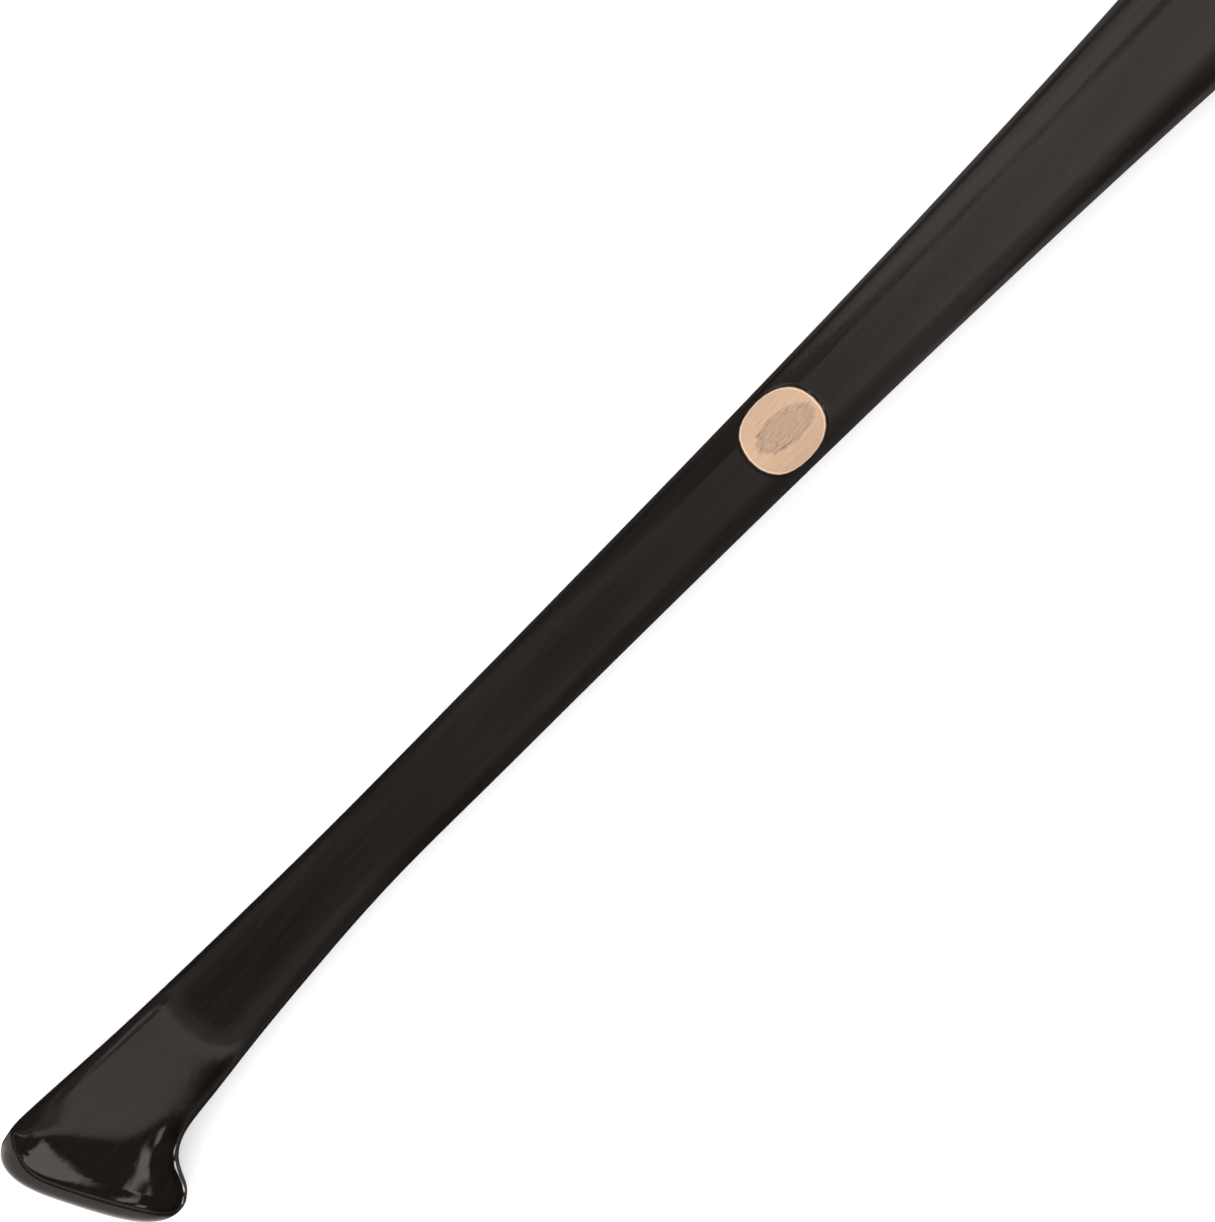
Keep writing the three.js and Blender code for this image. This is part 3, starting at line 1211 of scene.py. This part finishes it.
@dataclass
class LacquerCoat:
    """The film over the billet: an outer and an inner wall, joined at the window and in the cup."""

    shape: BatShape
    thickness: float = 0.2 * MM
    ridge_height: float = 0.05 * MM
    ridge_width: float = 0.35 * MM
    skin: Skin = field(init=False)

    def __post_init__(self) -> None:
        """Chooses the fineness of the skin."""
        self.skin = Skin(
            self.shape, segments=112, rings_per_station=11, ring_step=3.2 * MM, dome_rings=28,
            cup_rings=4, loops=16,
        )

    def wall(self, depth: float) -> Grid:
        """Vertices of one wall: its rings, its loops and the knob's pole.

        The outer wall rises to a low ridge along the window, where the lacquer drew back from the
        mask: a bell curve of the distance from the outline.

        Args:
            depth: distance below the outside.

        Returns:
            The vertices.
        """
        skin = self.skin
        rings, normals = skin.surface()
        count = skin.lacquered_rings()
        flat, inside = skin.window_loops(inner_loops=0)
        ridge = self.ridge_height * np.exp(-((inside / self.ridge_width) ** 2))
        return np.vstack([
            (rings - normals * depth)[:count].reshape(-1, 3),
            skin.sunk(flat, depth - np.where(depth > 0.0, 0.0, ridge)).reshape(-1, 3),
            skin.poles(depth)[:1],
        ])

    def piece(self) -> MeshPiece:
        """The closed film.

        Returns:
            The piece.
        """
        skin = self.skin
        outer, inner = self.wall(0.0), self.wall(self.thickness)
        count = skin.lacquered_rings()
        ring_points = count * skin.segments
        loop_size = len(skin.block_edge())
        quads = np.vstack([skin.ring_faces(count), skin.loop_faces(ring_points, skin.loops)])
        knob = skin.fan(0, len(outer) - 1, outwards=True)
        lip = ring_points - skin.segments + np.arange(skin.segments)
        outline = ring_points + (skin.loops - 1) * loop_size + np.arange(loop_size)
        joins = []
        for edge in (lip, outline):
            after = np.roll(edge, -1)
            joins.append(np.column_stack([edge, after, after + len(outer), edge + len(outer)]))
        return MeshPiece(
            "lacquer_coat_visual",
            np.vstack([outer, inner]),
            np.vstack([both_walls(quads, len(outer)), *joins]),
            both_walls(knob, len(outer)),
        )


@dataclass
class InkDot:
    """The inked mark: a thin patch on the wood that is stained by its material."""

    skin: Skin
    length: float = 25.0 * MM
    width: float = 14.0 * MM
    low: float = 0.245 * MM
    rim_thickness: float = 0.012 * MM
    middle_thickness: float = 0.045 * MM
    rings: int = 16
    sides: int = 64

    def piece(self) -> MeshPiece:
        """The closed patch: polar rings on an ellipse, thickest in the middle.

        Returns:
            The piece.
        """
        share = np.arange(1, self.rings + 1) / self.rings
        turn = np.arange(self.sides) * (TURN / self.sides)
        half = 0.5 * np.array([self.length, self.width])
        flat = share[:, None, None] * np.stack([np.cos(turn), np.sin(turn)], axis=-1) * half
        flat = np.vstack([np.zeros((1, 2)), flat.reshape(-1, 2)])
        reach = np.concatenate([[0.0], np.repeat(share, self.sides)])
        thickness = self.rim_thickness + self.middle_thickness * (1.0 - reach**4)
        top, bottom = self.skin.sunk(flat, self.low - thickness), self.skin.sunk(flat, self.low)
        ring = 1 + np.arange(self.rings * self.sides).reshape(self.rings, self.sides)
        after = np.roll(ring, -1, axis=1)
        quads = np.stack([ring[:-1], ring[1:], after[1:], after[:-1]], axis=-1).reshape(-1, 4)
        fan = np.column_stack([np.zeros(self.sides, dtype=int), ring[0], after[0]])
        count = len(top)
        side = np.column_stack([ring[-1], ring[-1] + count, after[-1] + count, after[-1]])
        return MeshPiece(
            "ink_dot_visual",
            np.vstack([top, bottom]),
            np.vstack([both_walls(quads, count), side]),
            both_walls(fan, count),
        )


@dataclass
class Bat:
    """The whole bat: its shape, its lie, its pieces and their finishes."""

    shape: BatShape = BatShape()
    grain_slope: float = math.radians(4.0)
    lie: Lie = field(init=False)

    def __post_init__(self) -> None:
        """Lays the bat down where the record has it."""
        self.lie = Lie(frame["record"]["mounts"][0], self.shape)

    def show(self, piece: MeshPiece, material: bpy.types.Material, node: str) -> None:
        """Builds a piece, dresses it and hands it to the frame.

        Args:
            piece: the mesh.
            material: its finish.
            node: the CAD node that it stands for.
        """
        made = piece.build(self.lie)
        made.data.materials.append(material)
        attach(made, "root")
        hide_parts(node)
        made.data.calc_loop_triangles()
        log.info("%s: %d triangles", made.name, len(made.data.loop_triangles))

    def build(self) -> None:
        """Builds and dresses the three pieces."""
        body, coat = MapleBody(self.shape), LacquerCoat(self.shape)
        dot = InkDot(coat.skin)
        radius = float(self.shape.radius(np.array(coat.skin.window_x)))
        middle = np.array([coat.skin.window_x, 0.0, radius])
        grain = self.lie.matrix(middle, self.grain_slope)
        maple = MapleFinish()
        self.show(body.piece(), maple.material(grain), "maple_body")
        self.show(coat.piece(), LacquerFinish().material(grain), "lacquer_coat")
        self.show(dot.piece(), InkFinish(maple).material(grain), "ink_dot")


# --------------------------------------------------------------------------- studio


@dataclass(frozen=True)
class SkyPatch:
    """A rectangle with soft edges on the sky, laid flat by leaving out the height.

    Its sides are given by where it starts, is full, is full for the last time and ends.
    """

    along: Edges
    across: Edges
    weight: float
    turn: float = 0.0

    def share(self, x: Value, y: Value) -> Value:
        """How far a direction is inside the patch.

        Args:
            x: the direction's X.
            y: the direction's Y.

        Returns:
            1 inside and 0 outside.
        """
        along = x * math.cos(self.turn) + y * math.sin(self.turn)
        across = y * math.cos(self.turn) - x * math.sin(self.turn)
        return along.inside(*self.along) * across.inside(*self.across)


@dataclass(frozen=True)
class Studio:
    """A pale floor under a soft tent, a broad key light and the camera above the handle.

    The tent's light is a product of ramps over the tilt along the bat, the side and the height,
    each from -1 to 1 laid on 0 to 1. Patches of it are shaded, and soft boxes are added to it.
    """

    floor_size: float = 14.0
    floor_color: Color = (0.95, 0.95, 0.95)
    floor_glow: float = 0.3
    floor_drop: float = 0.15 * MM
    key_size: float = 2.6
    key_height: float = 2.4
    key_power: float = 43.0
    key_place: tuple[float, float] = (-0.2, 0.15)
    tent_color: Color = (1.03, 0.955, 0.92)
    tent_strength: float = 1.12
    backdrop: float = 0.98
    tilt_ramp: Stops = (
        (0.0, 1.0), (0.36, 1.0), (0.38, 0.14), (0.431, 0.155), (0.441, 0.16), (0.45, 0.25),
        (0.456, 0.36), (0.485, 0.42), (0.490, 0.37), (0.494, 0.62), (0.499, 0.86),
        (0.508, 0.96), (0.515, 0.86), (0.533, 0.82), (0.541, 0.13), (0.76, 0.10),
    )
    side_ramp: Stops = (
        (0.0, 0.42), (0.025, 0.6), (0.07, 0.95), (0.15, 1.0), (0.98, 1.0), (1.0, 0.9),
    )
    height_ramp: Stops = (
        (0.0, 0.10), (0.06, 0.16), (0.19, 0.27), (0.28, 0.36), (0.36, 0.55), (0.44, 0.8),
        (0.5, 1.0),
    )
    tilt_by_side: float = 0.012
    tilt_by_height: float = 0.034
    knob_end: tuple[float, float] = (-0.22, -0.4)
    knob_end_lift: float = 0.95
    shades: tuple[SkyPatch, ...] = (
        SkyPatch((0.040, 0.055, 0.2, 0.3), (-2.0, -1.9, -0.85, -0.70), 0.65),
        SkyPatch((0.018, 0.024, 0.08, 0.12), (0.66, 0.74, 0.84, 0.92), 0.6),
        SkyPatch((-0.06, -0.03, 0.009, 0.018), (0.74, 0.84, 1.9, 2.0), 0.5),
    )
    softbox: SkyPatch = SkyPatch(
        (0.27, 0.30, 0.56, 0.60), (-0.24, -0.20, 0.30, 0.36), 1.9, math.radians(25.0)
    )
    softbox_foot: tuple[float, float] = (0.1, 0.2)
    panes: tuple[SkyPatch, ...] = (
        SkyPatch((0.28, 0.30, 0.48, 0.50), (-0.04, -0.02, 0.08, 0.10), 2.2, -math.atan2(0.8, 0.6)),
        SkyPatch((0.13, 0.15, 0.24, 0.26), (-0.62, -0.60, -0.48, -0.46), 2.2),
    )
    camera_distance: float = 1.5
    view_x: float = 232.8 * MM
    view_y: float = -0.9 * MM
    view_height: float = 349.1 * MM
    view_turn: float = math.radians(45.13)
    sensor: float = 36.0

    def floor(self) -> None:
        """A plain matt floor that the gloss doesn't pick up."""
        half = 0.5 * self.floor_size
        low = -self.floor_drop
        corners = [(-half, -half, low), (half, -half, low), (half, half, low), (-half, half, low)]
        mesh = bpy.data.meshes.new("floor")
        mesh.from_pydata(corners, [], [(0, 1, 2, 3)])
        material, bench = new_material("floor_paper")
        bench.surface({
            "Base Color": (*self.floor_color, 1.0), "Roughness": 0.9, "Specular IOR Level": 0.0,
            "Emission Color": (1.0, 1.0, 1.0, 1.0), "Emission Strength": self.floor_glow,
        })
        mesh.materials.append(material)
        made = add_object("floor", mesh)
        made.visible_glossy = False

    def tent(self) -> None:
        """The tent's light by direction, as the gloss sees it.

        It is bright low over the knob, dim from there to the top, bright a little beyond that and
        dim again towards the barrel, where a softbox and two panes hang. It fades below the
        horizon, but not at the knob's end. What the camera sees past the floor is plain.
        """
        world = bpy.data.worlds.new("tent")
        bpy.context.scene.world = world
        world.use_nodes = True
        bench = Bench(world.node_tree)
        source = bench.node("ShaderNodeTexCoord")
        x, y, z = bench.parts(source.outputs["Generated"])
        tilt = x + y * y * self.tilt_by_side - (1.0 - z) * self.tilt_by_height
        bands = bench.ramp((tilt + 1.0) / 2.0, self.tilt_ramp)
        sides = bench.ramp((y + 1.0) / 2.0, self.side_ramp)
        drop = bench.ramp((z + 1.0) / 2.0, self.height_ramp)
        fall = drop + (1.0 - drop) * x.between(*self.knob_end) * self.knob_end_lift
        light = bands * sides * fall * self.tent_strength
        for shade in self.shades:
            light = light * (1.0 - shade.share(x, y) * shade.weight)
        box = self.softbox.share(x, y) * z.between(*self.softbox_foot)
        light = light + box * self.softbox.weight
        for pane in self.panes:
            light = light + pane.share(x, y) * pane.weight
        paths = bench.node("ShaderNodeLightPath")
        seen = Value(bench, paths.outputs["Is Camera Ray"])
        strength = light * (1.0 - seen) + seen * self.backdrop
        glossy = Value(bench, paths.outputs["Is Glossy Ray"])
        tint = bench.mix(glossy, (1.0, 1.0, 1.0), self.tent_color)
        shader = bench.node("ShaderNodeBackground", {}, {"Color": tint, "Strength": strength})
        bench.node("ShaderNodeOutputWorld", {}, {"Surface": shader.outputs[0]})

    def key(self) -> None:
        """A broad soft light from above that the gloss doesn't mirror."""
        light = bpy.data.lights.new("key", "AREA")
        light.shape = "DISK"
        light.size = self.key_size
        light.energy = self.key_power
        made = add_object("key", light)
        made.location = (*self.key_place, self.key_height)
        made.visible_camera = False
        made.visible_glossy = False

    def camera(self, lie: Lie) -> None:
        """A long lens straight above the handle, turned so that the bat runs up to the right.

        Args:
            lie: how the bat lies in the frame.
        """
        data = bpy.data.cameras.new("camera")
        data.sensor_width = self.sensor
        data.lens = self.sensor * self.camera_distance / self.view_height
        data.clip_start = 0.05
        data.clip_end = 100.0
        made = add_object("camera", data)
        target = Vector(lie.place(np.array([self.view_x, self.view_y, 0.0])).tolist())
        made.location = target + Vector((0.0, 0.0, self.camera_distance))
        made.rotation_euler = (0.0, 0.0, -self.view_turn)
        bpy.context.scene.camera = made

    def build(self, lie: Lie) -> None:
        """Sets up the whole studio around the bat.

        Args:
            lie: how the bat lies in the frame.
        """
        self.floor()
        self.tent()
        self.key()
        self.camera(lie)
        bpy.context.scene.view_settings.view_transform = "Standard"
        log.info("studio ready")


def main() -> None:
    """Builds the bat and the studio."""
    logging.basicConfig(level=logging.INFO, format="%(name)s: %(message)s")
    bat = Bat()
    bat.build()
    Studio().build(bat.lie)


if __name__ == "__main__":
    main()
